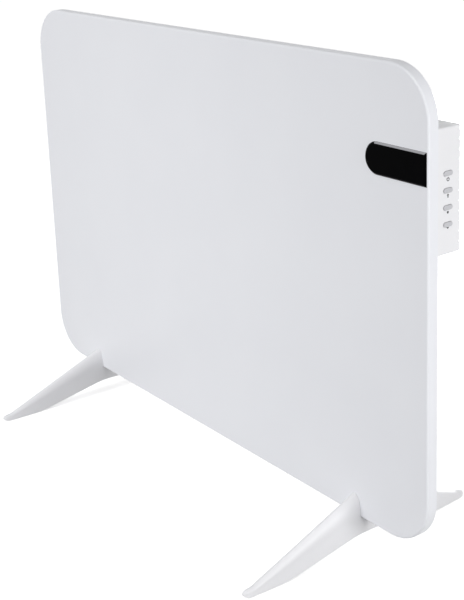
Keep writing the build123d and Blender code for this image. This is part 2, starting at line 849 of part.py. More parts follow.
write("power_board", make_power_board())
write("power_board_screws", *plate_screws(board_screw_form, board_rear, -1, power_board_places()))
write("transformer", make_transformer())
write("relay", on_board(Rectangle(relay_size[0], relay_size[2]), relay_at, relay_size[1]))
write("capacitors", make_capacitor(0), make_capacitor(1))
write("buzzer", on_board(Circle(buzzer_radius), buzzer_at, buzzer_height))
write("fuse", make_fuse())
write("terminal_block", make_terminal_block())

write("button_board", make_button_board())
write("tact_switches", *[make_switch(z) for z in button_zs])
write("button_board_screws", *[make_button_board_screw(z) for z in button_board_screw_zs()])
for name, z in zip(button_names, button_zs):
    write(f"button_{name}", make_button(z))
    write(f"plunger_{name}", make_plunger(z))

leg = make_leg()
write("leg_left", Pos(-leg_x, 0, 0) * leg)
write("leg_right", Pos(leg_x, 0, 0) * leg)
write("foot_pads", *make_pads(-1), *make_pads(1))
write("leg_screws", *make_leg_screws(-1), *make_leg_screws(1))
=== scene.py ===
import json
import math

import bmesh
import bpy
from mathutils import Euler, Matrix, Vector


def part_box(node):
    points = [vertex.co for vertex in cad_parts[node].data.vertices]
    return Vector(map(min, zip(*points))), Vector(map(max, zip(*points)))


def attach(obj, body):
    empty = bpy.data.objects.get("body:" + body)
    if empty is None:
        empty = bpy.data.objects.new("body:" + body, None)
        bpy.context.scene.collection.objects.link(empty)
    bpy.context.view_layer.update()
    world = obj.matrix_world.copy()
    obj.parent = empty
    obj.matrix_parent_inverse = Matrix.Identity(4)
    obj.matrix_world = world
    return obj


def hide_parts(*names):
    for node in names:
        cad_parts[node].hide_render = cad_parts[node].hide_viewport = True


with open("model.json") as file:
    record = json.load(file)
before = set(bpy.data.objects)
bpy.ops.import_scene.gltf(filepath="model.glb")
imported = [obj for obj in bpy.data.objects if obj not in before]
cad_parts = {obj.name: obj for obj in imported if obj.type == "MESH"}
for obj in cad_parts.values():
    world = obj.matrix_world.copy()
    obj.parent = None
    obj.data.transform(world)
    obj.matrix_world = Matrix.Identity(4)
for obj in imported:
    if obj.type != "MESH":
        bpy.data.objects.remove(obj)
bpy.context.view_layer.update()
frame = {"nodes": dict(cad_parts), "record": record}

mm = 0.001

# Camera
# The heater is seen from its right front, from a little above its top edge. The lens is shifted
# down, so that the camera tilts less and the uprights stay nearly parallel.
camera_data = bpy.data.cameras.new("camera")
camera_data.sensor_width = 36.0
camera_data.lens = 73.3718
camera_data.shift_y = -0.21667
camera_data.clip_end = 50.0
camera = bpy.data.objects.new("camera", camera_data)
camera.location = (1.38287, -0.96535, 0.87438)
camera.rotation_euler = Euler([math.radians(angle) for angle in (75.6702, 2.1321, 53.1317)])
bpy.context.scene.collection.objects.link(camera)
bpy.context.scene.camera = camera
bpy.context.scene.view_settings.view_transform = "Standard"


# Studio
# A white room with soft lamps. The room and the lit floor are white to the camera and to
# reflections, and the floor keeps the heater's shadow.
class Signal:
    """A socket inside a finish. Arithmetic on it adds Math nodes."""

    def __init__(self, finish, socket):
        self.finish = finish
        self.socket = socket

    def math(self, operation, *values):
        return self.finish.node("ShaderNodeMath", {"operation": operation}, *values)

    def __add__(self, other):
        return self.math("ADD", self, other)

    def __sub__(self, other):
        return self.math("SUBTRACT", self, other)

    def __rsub__(self, other):
        return self.math("SUBTRACT", other, self)

    def __mul__(self, other):
        return self.math("MULTIPLY", self, other)

    __radd__ = __add__
    __rmul__ = __mul__

    def or_more(self, other):
        return self.math("MAXIMUM", self, other)


class Finish:
    """The nodes of one material, or of the room, with the settings that don't vary."""

    def __init__(self, name, constants=(), owner=None):
        self.material = owner or bpy.data.materials.new(name)
        self.material.use_nodes = True
        self.tree = self.material.node_tree
        self.shader = self.tree.nodes.get("Principled BSDF")
        for socket, value in dict(constants).items():
            self.shader.inputs[socket].default_value = value

    def plug(self, value, socket):
        """Links a signal to a socket, or sets the socket to a plain value."""
        if isinstance(value, Signal):
            self.tree.links.new(value.socket, socket)
        else:
            socket.default_value = value

    def node(self, kind, settings, *values, output=0, sockets=()):
        """One node of any kind: its settings first, then its sockets in order or by name."""
        made = self.tree.nodes.new(kind)
        for setting, value in settings.items():
            setattr(made, setting, value)
        for socket, value in [*enumerate(values), *dict(sockets).items()]:
            self.plug(value, made.inputs[socket])
        return Signal(self, made.outputs[output])

    def white_rays(self):
        """1 for rays of the camera, of reflections and of glass, and 0 for the light itself."""
        camera_ray = self.node("ShaderNodeLightPath", {}, output="Is Camera Ray")
        glossy_ray = self.node("ShaderNodeLightPath", {}, output="Is Glossy Ray")
        glass_ray = self.node("ShaderNodeLightPath", {}, output="Is Transmission Ray")
        return camera_ray.or_more(glossy_ray).or_more(glass_ray)

    def noise(self, size, detail=2.0):
        """Cloudy values round 0.5 whose lumps are about the given size in metres."""
        place = self.node("ShaderNodeTexCoord", {}, output="Object")
        settings = {"Vector": place, "Scale": 1.0 / size, "Detail": detail}
        return self.node("ShaderNodeTexNoise", {}, sockets=settings)

    def mixed(self, share, first, second):
        """A colour between two colours."""
        made = self.tree.nodes.new("ShaderNodeMix")
        made.data_type = "RGBA"
        sockets = [socket for socket in made.inputs if socket.type == "RGBA"]
        self.plug(share, made.inputs[0])
        self.plug((*first, 1.0), sockets[0])
        self.plug((*second, 1.0), sockets[1])
        return Signal(self, [socket for socket in made.outputs if socket.type == "RGBA"][0])

    def surface(self, dark, light, tone, rough, grain, height):
        """Colour from dark to light with the tone, a roughness, and a bump of a height in metres."""
        self.plug(self.mixed(tone, dark, light), self.shader.inputs["Base Color"])
        self.plug(rough, self.shader.inputs["Roughness"])
        bump = self.node("ShaderNodeBump", {}, sockets={"Height": grain, "Distance": height})
        self.plug(bump, self.shader.inputs["Normal"])
        return self

    def on(self, *pieces):
        """Puts the finish on pieces, or on CAD nodes given by name."""
        for piece in pieces:
            owner = frame["nodes"][piece] if isinstance(piece, str) else piece
            owner.data.materials.clear()
            owner.data.materials.append(self.material)


wall_light = 0.6
ceiling_light = 0.2
world = bpy.data.worlds.new("room")
bpy.context.scene.world = world
room = Finish("room", owner=world)
room_background = room.tree.nodes["Background"]
room_background.inputs["Color"].default_value = (1.0, 1.0, 1.0, 1.0)
direction = room.node("ShaderNodeTexCoord", {}, output="Generated")
upward = room.node("ShaderNodeSeparateXYZ", {}, direction, output="Z").or_more(0.0)
room_light = wall_light - upward * (wall_light - ceiling_light)
room.plug(room_light.or_more(room.white_rays()), room_background.inputs["Strength"])


def add_object(name, data):
    """Adds a light or a mesh to the scene as an object."""
    made = bpy.data.objects.new(name, data)
    bpy.context.scene.collection.objects.link(made)
    return made


def lamp(name, place, aim, width, height, power, spread=180.0):
    """A soft rectangular lamp that looks at a point, with the spread of its beam in degrees."""
    data = bpy.data.lights.new(name, "AREA")
    data.shape = "RECTANGLE"
    data.size = width
    data.size_y = height
    data.energy = power
    data.spread = math.radians(spread)
    made = add_object(name, data)
    made.location = place
    made.rotation_euler = (Vector(aim) - Vector(place)).to_track_quat("-Z", "Y").to_euler()


lamp("right_lamp", (1.9, 0.12, 0.48), aim=(0.4, 0.0, 0.4), width=0.7, height=0.7, power=14.0)
lamp(
    "front_lamp", (-0.3, -1.95, 0.65), aim=(-0.12, 0.0, 0.34), width=1.3, height=1.3, power=4.8,
    spread=90.0,
)
lamp("rear_lamp", (-0.8, 2.6, 0.5), aim=(0.0, 0.0, 0.3), width=2.0, height=1.0, power=44.0)
skylight_tilt = 42.0
skylight_data = bpy.data.lights.new("skylight", "SUN")
skylight_data.energy = 0.75
skylight_data.angle = math.radians(30.0)
skylight = add_object("skylight", skylight_data)
skylight.rotation_euler = (math.radians(skylight_tilt), 0.0, 0.0)

floor_size = 12.0
floor_glow = 0.52
floor_tone = 0.32
floor_form = bmesh.new()
bmesh.ops.create_grid(floor_form, x_segments=1, y_segments=1, size=floor_size)
floor_mesh = bpy.data.meshes.new("floor")
floor_form.to_mesh(floor_mesh)
floor_form.free()
floor = add_object("floor", floor_mesh)
floor_finish = Finish(
    "floor_white", {"Roughness": 0.9, "Specular IOR Level": 0.0, "Emission Strength": 1.0}
)
white_rays = floor_finish.white_rays()
floor_greys = {
    "Emission Color": white_rays * floor_glow,
    "Base Color": white_rays * (1.0 - floor_tone) + floor_tone,
}
for socket, grey in floor_greys.items():
    colour = floor_finish.node("ShaderNodeCombineColor", {}, grey, grey, grey)
    floor_finish.plug(colour, floor_finish.shader.inputs[socket])
floor_finish.on(floor)


# Front tray
# Shallow tray of 1 mm sheet steel with wide round corners and a soft front edge, in white powder
# coat. It is open to the rear and has a window behind the display lens.
body_of = {node: body for body, nodes in frame["record"]["behaviour"]["bodies"].items() for node in nodes}
same_point = 0.002 * mm
on_face = 0.1 * mm


def block(low, high):
    """A box between two corners."""
    form = bmesh.new()
    bmesh.ops.create_cube(form, size=1.0)
    bmesh.ops.scale(form, vec=high - low, verts=form.verts)
    bmesh.ops.translate(form, vec=(low + high) / 2, verts=form.verts)
    return form


def round_edges(form, edges, radius, steps):
    """Rounds some edges with a radius."""
    bmesh.ops.bevel(
        form, geom=edges, offset=radius, segments=steps, profile=0.5, affect="EDGES", material=-1
    )


def score(form, axis, distance):
    """Cuts the faces along a plane across an axis, and keeps both sides."""
    everything = [*form.verts, *form.edges, *form.faces]
    bmesh.ops.bisect_plane(form, geom=everything, plane_co=Vector(axis) * distance, plane_no=axis)


def close(form, turn=30.0):
    """Merges doubles, turns the faces outwards, and keeps only edges sharper than the turn sharp."""
    bmesh.ops.remove_doubles(form, verts=form.verts, dist=same_point)
    bmesh.ops.recalc_face_normals(form, faces=form.faces)
    for face in form.faces:
        face.smooth = True
    for edge in form.edges:
        edge.smooth = edge.calc_face_angle(math.pi) < math.radians(turn)


def finish_piece(name, form, finish, slot, *nodes, edge=0.0, turn=30.0):
    """Makes a piece that stands for its nodes, with its sharp edges broken by a small radius."""
    mesh = bpy.data.meshes.new(name)
    form.to_mesh(mesh)
    form.free()
    piece = add_object(name, mesh)
    if edge:
        rounding = piece.modifiers.new("broken_edges", "BEVEL")
        rounding.width = edge
        rounding.segments = 2
        rounding.limit_method = "ANGLE"
        rounding.angle_limit = math.radians(turn)
        rounding.harden_normals = True
    even = piece.modifiers.new("even_shading", "WEIGHTED_NORMAL")
    even.keep_sharp = True
    finish.on(piece)
    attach(piece, body_of[nodes[0]] if nodes else "heater")
    if nodes:
        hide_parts(*nodes)
    return piece


tray_corner = 65.0 * mm
tray_corner_steps = 24
tray_edge = 3.0 * mm
tray_edge_steps = 6
tray_sheet = 1.0 * mm
window_play = 1.0 * mm
tray_low, tray_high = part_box("front_panel")
tray = block(tray_low, tray_high)
corner_edges = [e for e in tray.edges if abs(e.verts[0].co.y - e.verts[1].co.y) > mm]
round_edges(tray, corner_edges, tray_corner, tray_corner_steps)
front_edges = [e for e in tray.edges if all(v.co.y < tray_low.y + mm for v in e.verts)]
round_edges(tray, front_edges, tray_edge, tray_edge_steps)
rear_faces = [
    f for f in tray.faces if f.calc_center_median().y > tray_high.y - on_face and f.normal.y > 0.9
]
bmesh.ops.delete(tray, geom=rear_faces, context="FACES_ONLY")
window_low, window_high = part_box("display_module")
window_x = (window_low.x - window_play, window_high.x + window_play)
window_z = (window_low.z - window_play, window_high.z + window_play)
for axis, sides in (((1, 0, 0), window_x), ((0, 0, 1), window_z)):
    for side in sides:
        score(tray, axis, side)


def in_window(point):
    """Whether a point of the front lies inside the display window."""
    return window_x[0] < point.x < window_x[1] and window_z[0] < point.z < window_z[1]


window_faces = [f for f in tray.faces if f.normal.y < -0.9 and in_window(f.calc_center_median())]
bmesh.ops.delete(tray, geom=window_faces, context="FACES_ONLY")
bmesh.ops.recalc_face_normals(tray, faces=tray.faces)
bmesh.ops.solidify(tray, geom=tray.faces, thickness=tray_sheet)
close(tray)
white_coat = Finish("white_powder_coat", {"Specular IOR Level": 0.45})
peel = white_coat.noise(1.5 * mm)
white_coat.surface(
    (0.80, 0.81, 0.85), (0.84, 0.85, 0.885), tone=white_coat.noise(140 * mm),
    rough=0.38 + peel * 0.08, grain=peel, height=0.012 * mm,
)
finish_piece("front_tray", tray, white_coat, "panel_paint", "front_panel")


# Inside of the panel
# The welded rim frame and the nut bars are zinc-plated steel. A black carbon film heats the tray,
# with felt behind it, brass tabs, two silicone leads and a thermal cut-out.
def plain_finish(name, dark, light, size, rough, rough_range, height, constants=()):
    """A finish with one noise: its tone, its roughness and its grain follow the same lumps."""
    made = Finish(name, constants)
    lumps = made.noise(size)
    return made.surface(dark, light, lumps, rough + lumps * rough_range, lumps, height)


metal = {"Metallic": 1.0}
zinc = plain_finish(
    "zinc_plate", (0.48, 0.50, 0.53), (0.66, 0.67, 0.69),
    size=3 * mm, rough=0.28, rough_range=0.2, height=0.004 * mm, constants=metal,
)
zinc.on("rim_frame", "leg_nut_bars")
carbon = plain_finish(
    "carbon_film", (0.012, 0.012, 0.013), (0.03, 0.03, 0.032),
    size=0.6 * mm, rough=0.45, rough_range=0.2, height=0.01 * mm,
)
carbon.on("heating_film")
felt = plain_finish(
    "grey_felt", (0.30, 0.29, 0.28), (0.52, 0.51, 0.49),
    size=0.9 * mm, rough=0.92, rough_range=0.06, height=0.15 * mm,
)
felt.on("insulation_felt")
brass = plain_finish(
    "brass", (0.62, 0.42, 0.16), (0.78, 0.56, 0.25),
    size=1.2 * mm, rough=0.25, rough_range=0.2, height=0.002 * mm, constants=metal,
)
brass.on("film_tabs")
silicone = plain_finish(
    "white_silicone", (0.62, 0.60, 0.56), (0.74, 0.72, 0.68),
    size=2 * mm, rough=0.55, rough_range=0.1, height=0.004 * mm,
)
silicone.on("element_leads")
ceramic = plain_finish(
    "ceramic", (0.66, 0.63, 0.57), (0.78, 0.75, 0.69),
    size=0.8 * mm, rough=0.5, rough_range=0.2, height=0.01 * mm,
)
ceramic.on("thermal_cutout")


# Back plate
# Flat steel plate, powder coated like the tray and screwed to the rim frame. Four rivet nuts in it
# take wall brackets, and fourteen pan-head screws with a cross recess hold it.
def refined(name, node, finish, slot, edge, turn=30.0):
    """A copy of a CAD node as one clean skin: flats joined, round walls smooth, edges broken."""
    form = bmesh.new()
    form.from_mesh(frame["nodes"][node].data)
    bmesh.ops.remove_doubles(form, verts=form.verts, dist=same_point)
    bmesh.ops.dissolve_limit(form, angle_limit=math.radians(1.0), verts=form.verts, edges=form.edges)
    close(form, turn)
    return finish_piece(name, form, finish, slot, node, edge=edge, turn=turn)


back_coat = Finish("back_powder_coat", {"Specular IOR Level": 0.4})
back_peel = back_coat.noise(1.2 * mm)
back_coat.surface(
    (0.77, 0.77, 0.78), (0.83, 0.83, 0.84), tone=back_coat.noise(180 * mm),
    rough=0.48 + back_peel * 0.1, grain=back_peel, height=0.02 * mm,
)
refined("back_sheet", "back_plate", back_coat, "back_paint", edge=0.15 * mm)


def put(form, verts, place, axis):
    """Turns points from straight up to an axis, and moves them to a place."""
    turn = Vector((0, 0, 1)).rotation_difference(Vector(axis)).to_matrix().to_4x4()
    bmesh.ops.transform(form, matrix=Matrix.Translation(place) @ turn, verts=verts)


def joined_verts(verts):
    """All vertices that hang together with some vertices."""
    found = set(verts)
    newest = found
    while newest:
        newest = {e.other_vert(v) for v in newest for e in v.link_edges} - found
        found |= newest
    return found


def lathe(form, outline, place, axis, segments=32):
    """Turns an outline of (radius, height) points about an axis through a place."""
    start = [form.verts.new((radius, 0.0, height)) for radius, height in outline]
    edges = [form.edges.new(pair) for pair in zip(start, start[1:])]
    bmesh.ops.spin(
        form, geom=[*start, *edges], cent=(0, 0, 0), axis=(0, 0, 1),
        angle=2 * math.pi, steps=segments, use_merge=True,
    )
    put(form, list(joined_verts(start)), place, axis)


def islands(node):
    """Corners of the boxes round the separate solids of a CAD node, for pieces that repeat."""
    form = bmesh.new()
    form.from_mesh(frame["nodes"][node].data)
    bmesh.ops.remove_doubles(form, verts=form.verts, dist=same_point)
    waiting = set(form.verts)
    boxes = []
    while waiting:
        found = joined_verts([waiting.pop()])
        waiting -= found
        points = [v.co.copy() for v in found]
        boxes.append([Vector([pick(p[i] for p in points) for i in range(3)]) for pick in (min, max)])
    form.free()
    return boxes


nut_bore = 2.5 * mm
nut_barrel = 3.5 * mm
nut_flange = 5.0 * mm
nut_flange_thickness = 0.8 * mm
nut_flange_round = 0.3 * mm
nut_lead_in = 0.4 * mm
nuts = bmesh.new()
for low, high in islands("wall_rivet_nuts"):
    length = high.y - low.y
    middle = (low + high) / 2
    outline = [
        (nut_bore, 0.0), (nut_barrel, 0.0), (nut_barrel, length - nut_flange_thickness),
        (nut_flange, length - nut_flange_thickness), (nut_flange, length - nut_flange_round),
        (nut_flange - nut_flange_round, length), (nut_bore + nut_lead_in, length),
        (nut_bore, length - nut_lead_in), (nut_bore, 0.0),
    ]
    lathe(nuts, outline, (middle.x, low.y, middle.z), (0, 1, 0))
close(nuts)
finish_piece("rivet_nuts", nuts, zinc, "zinc_steel", "wall_rivet_nuts")

# Shares of a screw head's radius and height. The dome's steps are (radius, height).
cross_reach = 0.62
cross_width = 0.34
cross_depth = 0.7
cross_taper = 0.7
crown = 0.78
dome = ((0.95, 0.8), (1.0, 0.5), (1.0, 0.0))


def pulled(form, edges):
    """Extrudes edges, and gives their new vertices and the new edges between these."""
    grown = bmesh.ops.extrude_edge_only(form, edges=edges)["geom"]
    verts = [g for g in grown if isinstance(g, bmesh.types.BMVert)]
    ring = [g for g in grown if isinstance(g, bmesh.types.BMEdge) and all(v in verts for v in g.verts)]
    return verts, ring


def level(verts, height):
    """Brings vertices to one height."""
    for v in verts:
        v.co.z = height


def pan_screw(form, seat, axis, head_radius, head_height, shank_radius, length):
    """A pan-head screw with a cross recess: the seat is under its head, the axis points out of it."""
    before = set(form.verts)
    arm = cross_reach * head_radius
    half = cross_width / 2 * head_radius
    corners = [(arm, -half), (arm, half), (half, half), (half, arm), (-half, arm), (-half, half)]
    corners += [(-x, -y) for x, y in corners]
    cross = [form.verts.new((x, y, head_height)) for x, y in corners]
    cross_edges = [form.edges.new(pair) for pair in zip(cross, cross[1:] + cross[:1])]
    top = bmesh.ops.create_circle(form, cap_ends=False, segments=24, radius=crown * head_radius)["verts"]
    bmesh.ops.translate(form, vec=(0, 0, head_height), verts=top)
    ring = list({e for v in top for e in v.link_edges})
    bmesh.ops.bridge_loops(form, edges=cross_edges + ring)
    last_share = crown
    for share, height in (*dome, (shank_radius / head_radius, 0.0)):
        verts, ring = pulled(form, ring)
        bmesh.ops.scale(form, vec=(share / last_share, share / last_share, 1.0), verts=verts)
        level(verts, height * head_height)
        last_share = share
    shank_end = pulled(form, ring)[0]
    level(shank_end, -length)
    bmesh.ops.contextual_create(form, geom=shank_end)
    recess = pulled(form, cross_edges)[0]
    bmesh.ops.scale(form, vec=(cross_taper, cross_taper, 1.0), verts=recess)
    level(recess, (1 - cross_depth) * head_height)
    bmesh.ops.contextual_create(form, geom=recess)
    put(form, [v for v in form.verts if v not in before], seat, axis)


steel = plain_finish(
    "screw_steel", (0.42, 0.42, 0.43), (0.6, 0.6, 0.61),
    size=0.9 * mm, rough=0.25, rough_range=0.25, height=0.002 * mm, constants=metal,
)
screw_shank = 1.5 * mm
screw_head = 2.8 * mm
screw_head_height = 1.6 * mm
for name, node in (("plate_screws", "back_plate_screws"), ("lid_screws", "cover_screws")):
    screws = bmesh.new()
    for low, high in islands(node):
        middle = (low + high) / 2
        seat = (middle.x, high.y - screw_head_height, middle.z)
        length = high.y - low.y - screw_head_height
        pan_screw(screws, seat, (0, 1, 0), screw_head, screw_head_height, screw_shank, length)
    close(screws)
    finish_piece(name, screws, steel, "screw_steel", node)
steel.on("housing_screws", "power_board_screws", "button_board_screws")


# Legs
# Two moulded blades, each from toe to toe over both sides of the panel. The section is a leaning
# wall under a round ridge, a slot holds the panel's lower edge, and ribs stiffen the hollow below.
leg_low, leg_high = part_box("leg_right")
leg_x = (leg_low.x + leg_high.x) / 2
leg_reach = leg_high.y
leg_heel = leg_low.z
leg_nose = 14.0 * mm
leg_nose_middle = leg_heel + 5.0 * mm
# Half widths at the foot and at the shoulder, and heights of the shoulder and of the ridge
leg_wide = (16.6 * mm, 11.1 * mm, 49.0 * mm, 76.0 * mm)
leg_narrow = (6.3 * mm, 5.0 * mm, 5.4 * mm, 10.2 * mm)
leg_arch = 25.4 * mm
leg_arch_half = 127.0 * mm
leg_arch_round = 130.0 * mm
leg_lift = 22.0 * mm
leg_foot_round = 0.9 * mm
leg_foot_bulge = 0.3 * leg_foot_round
slot_half = 7.95 * mm
slot_floor = 45.0 * mm
uncut = 1.0
panel_rear = 7.75 * mm
rib_pitch = 28.0 * mm
rib_half = 0.9 * mm
hollow_end = 112.0 * mm
wall = 2.5 * mm
screw_floor = 41.5 * mm
flank_step = 7.0 * mm
nose_steps = 10
nose_blunt = 2.3
ridge_steps = 12
wall_steps = 4


def leg_section(y):
    """Half widths at the foot and at the shoulder, and heights of the shoulder and of the ridge."""
    share = min(1.0, (abs(y) - panel_rear) / (leg_reach - leg_nose - panel_rear))
    return [wide + (narrow - wide) * share for wide, narrow in zip(leg_wide, leg_narrow)]


def arch_height(y):
    """Height of the underside: a foot that lifts softly into a straight flank, and a round middle."""
    slope = leg_arch / leg_arch_half
    tilt = math.atan(slope)
    if abs(y) < leg_arch_round * math.sin(tilt):
        centre = leg_heel + leg_arch - leg_arch_round / math.cos(tilt)
        return centre + math.sqrt(leg_arch_round**2 - y**2)
    lifted = max(0.0, leg_arch_half + leg_lift - abs(y))
    if lifted < 2 * leg_lift:
        return leg_heel + slope * lifted**2 / (4 * leg_lift)
    return leg_heel + slope * (leg_arch_half - abs(y))


def leg_ring(y, shrink, top):
    """Points round the leg's section, from the left foot edge by the right one over the ridge."""
    base, shoulder, rise, ridge = leg_section(y)
    floor_z = arch_height(y)
    foot_z = floor_z + leg_foot_round

    def side(z):
        return base + (shoulder - base) * (z - leg_heel) / (rise - leg_heel)

    right = [(side(floor_z) - leg_foot_round, floor_z)]
    right += [(side(floor_z) - leg_foot_bulge, floor_z + leg_foot_bulge)]
    heights = [foot_z + (rise - foot_z) * i / wall_steps for i in range(wall_steps)]
    right += [(side(z), z) for z in heights]
    turns = [math.pi / 2 * i / ridge_steps for i in range(ridge_steps)]
    right += [(shoulder * math.cos(t), rise + (ridge - rise) * math.sin(t)) for t in turns]
    ring = [(-right[0][0], right[0][1]), *right, (0.0, ridge)]
    ring += [(-x, z) for x, z in reversed(right)]
    return [(x * shrink, min(top, leg_nose_middle + (z - leg_nose_middle) * shrink)) for x, z in ring]


# A station is a place along the leg, a share that the section shrinks to, and a height at which
# it is cut off.
flank_count = int((leg_reach - leg_nose) / flank_step)
half_stations = [(slot_half, 1.0, slot_floor), (slot_half, 1.0, uncut)]
half_stations += [(flank_step * i, 1.0, uncut) for i in range(2, flank_count + 1)]
for i in range(nose_steps + 1):
    out = math.sin(math.pi / 2 * i / nose_steps)
    shrink = (1 - out**nose_blunt) ** (1 / nose_blunt)
    half_stations.append((leg_reach + leg_nose * (out - 1), shrink, uncut))
stations = [(-y, shrink, top) for y, shrink, top in reversed(half_stations)]
stations += [(0.0, 1.0, slot_floor), *half_stations]
rings = [[(x, y, z) for x, z in leg_ring(y, shrink, top)] for y, shrink, top in stations]
rib_marks = [rib_pitch * (i + 0.5) for i in range(int(hollow_end / rib_pitch))] + [hollow_end]
hollows = [(-rib_marks[0], rib_marks[0])]
hollows += [(a, b) for a, b in zip(rib_marks, rib_marks[1:])]
hollows += [(-b, -a) for a, b in zip(rib_marks, rib_marks[1:])]


def leg_skin():
    """A flat grid rolled into the leg's skin, ring by ring."""
    form = bmesh.new()
    around = len(rings[0]) - 1
    along = len(rings) - 1
    bmesh.ops.create_grid(form, x_segments=around, y_segments=along, size=1.0)
    for v in form.verts:
        i = round((v.co.x + 1) / 2 * around)
        j = round((v.co.y + 1) / 2 * along)
        v.co = rings[j][i]
    bmesh.ops.remove_doubles(form, verts=form.verts, dist=same_point)
    bmesh.ops.recalc_face_normals(form, faces=form.faces)
    return form


def press_hollow(form, near, far):
    """Presses the hollow between two ribs into the leg's underside."""
    under = [
        f for f in form.faces
        if f.normal.z < -0.9 and near < f.calc_center_median().y < far
        and abs(f.calc_center_median().x) < mm and f.calc_center_median().z < screw_floor
    ]
    bmesh.ops.inset_region(form, faces=under, thickness=rib_half, use_even_offset=True)
    for v in {v for f in under for v in f.verts}:
        v.co.x *= 1 - (wall - rib_half) / abs(v.co.x)
    grown = bmesh.ops.extrude_face_region(form, geom=under)["geom"]
    for v in (g for g in grown if isinstance(g, bmesh.types.BMVert)):
        shoulder, rise = leg_section(v.co.y)[1:3]
        v.co.z = screw_floor if abs(v.co.y) < rib_pitch / 2 + rib_half else rise
        v.co.x = math.copysign(min(abs(v.co.x), shoulder - wall), v.co.x)


white_plastic = Finish("white_satin_plastic", {"Specular IOR Level": 0.45})
spark = white_plastic.noise(0.5 * mm, detail=3.0)
white_plastic.surface(
    (0.81, 0.81, 0.83), (0.84, 0.84, 0.86), tone=white_plastic.noise(60 * mm),
    rough=0.36 + spark * 0.12, grain=spark, height=0.008 * mm,
)
for name, node, side in (("left_leg", "leg_left", -1), ("right_leg", "leg_right", 1)):
    leg = leg_skin()
    for near, far in hollows:
        press_hollow(leg, near, far)
    bmesh.ops.translate(leg, vec=(side * leg_x, 0, 0), verts=leg.verts)
    close(leg, 35.0)
    finish_piece(name, leg, white_plastic, "white_plastic", node, edge=0.25 * mm, turn=55.0)

leg_screw_shank = 2.0 * mm
leg_screw_head = 3.5 * mm
leg_screw_head_height = 2.6 * mm
leg_screws = bmesh.new()
for low, high in islands("leg_screws"):
    middle = (low + high) / 2
    seat = (middle.x, middle.y, low.z + leg_screw_head_height)
    length = high.z - low.z - leg_screw_head_height
    pan_screw(
        leg_screws, seat, (0, 0, -1), leg_screw_head, leg_screw_head_height, leg_screw_shank, length
    )
close(leg_screws)
finish_piece("foot_screws", leg_screws, steel, "screw_steel", "leg_screws")

rubber = plain_finish(
    "grey_rubber", (0.10, 0.10, 0.10), (0.16, 0.16, 0.16),
    size=0.8 * mm, rough=0.75, rough_range=0.15, height=0.02 * mm,
)
refined("rubber_pads", "foot_pads", rubber, "pad_rubber", edge=0.4 * mm)


# Control box
# Housing and lid are injection moulded in white. The lid's vent slots wrap round both of its sides
# and its screws sit in shallow wells. A gland in the bottom takes the mains cord.
refined("box_housing", "control_housing", white_plastic, "white_plastic", edge=0.35 * mm, turn=35.0)
box_round = 2.5 * mm
lid_round = 2.4 * mm
lid_steps = 5
lid_wall = 2.2 * mm
vent_height = 2.6 * mm
vent_length = 44.0 * mm
vent_pitch = 12.3 * mm
vent_count = 12
vent_drop = 72.5 * mm
vent_wrap = 3.0 * mm
well_radius = 4.0 * mm
well_depth = 1.8 * mm
well_frame = 5.0 * mm
lid_low, lid_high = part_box("control_cover")
housing_low, housing_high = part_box("control_housing")
lid_low.y = housing_high.y
lid = block(lid_low, lid_high)


def rear_ends(edge):
    """How many ends of an edge lie on the lid's rear face."""
    return sum(v.co.y > lid_high.y - on_face for v in edge.verts)


def aside(point, well):
    """How far a point lies from a well's middle, to the side or in height."""
    return max(abs(point.x - well.x), abs(point.z - well.z))


round_edges(lid, [e for e in lid.edges if rear_ends(e) == 1], box_round, lid_steps)
round_edges(lid, [e for e in lid.edges if rear_ends(e) == 2], lid_round, lid_steps)
lowest_vent = lid_high.z - vent_drop - vent_pitch * (vent_count - 1) / 2
vents = [lowest_vent + vent_pitch * i for i in range(vent_count)]
wells = [low.lerp(high, 0.5) for low, high in islands("cover_screws")]
cuts = [((0, 0, 1), z + side * vent_height / 2) for z in vents for side in (-1, 1)]
cuts += [((1, 0, 0), lid_low.x + vent_length), ((1, 0, 0), lid_high.x - vent_length)]
cuts += [((0, 1, 0), lid_high.y - vent_wrap)]
cuts += [((1, 0, 0), well.x + side * well_frame) for well in wells for side in (-1, 1)]
cuts += [((0, 0, 1), well.z + side * well_frame) for well in wells for side in (-1, 1)]
for axis, distance in sorted({(axis, round(distance, 6)) for axis, distance in cuts}):
    score(lid, axis, distance)


def in_vent(point):
    """Whether a point of the lid's skin lies inside one of the vent slots."""
    in_column = min(point.x - lid_low.x, lid_high.x - point.x) < vent_length
    in_row = any(abs(point.z - z) < vent_height / 2 for z in vents)
    return in_column and in_row and point.y > lid_high.y - vent_wrap


def over_well(point):
    """Whether a point lies in the square that is left free round a screw."""
    return point.y > lid_high.y - on_face and min(aside(point, well) for well in wells) < well_frame


open_faces = [f for f in lid.faces if f.calc_center_median().y < lid_low.y + on_face]
open_faces += [f for f in lid.faces if in_vent(f.calc_center_median())]
bmesh.ops.delete(lid, geom=open_faces, context="FACES_ONLY")
well_faces = [f for f in lid.faces if over_well(f.calc_center_median())]
bmesh.ops.delete(lid, geom=well_faces, context="FACES")
for well in wells:
    square = [
        e for e in lid.edges
        if e.is_boundary and all(abs(aside(v.co, well) - well_frame) < on_face for v in e.verts)
    ]
    rim = bmesh.ops.create_circle(lid, cap_ends=False, segments=24, radius=well_radius)["verts"]
    place = Matrix.Translation((well.x, lid_high.y, well.z)) @ Matrix.Rotation(math.pi / 2, 4, "X")
    bmesh.ops.transform(lid, matrix=place, verts=rim)
    rim_edges = list({e for v in rim for e in v.link_edges})
    bmesh.ops.bridge_loops(lid, edges=square + rim_edges)
    well_floor = pulled(lid, rim_edges)[0]
    bmesh.ops.translate(lid, vec=(0, -well_depth, 0), verts=well_floor)
    bmesh.ops.contextual_create(lid, geom=well_floor)
bmesh.ops.delete(lid, geom=[v for v in lid.verts if not v.link_faces], context="VERTS")
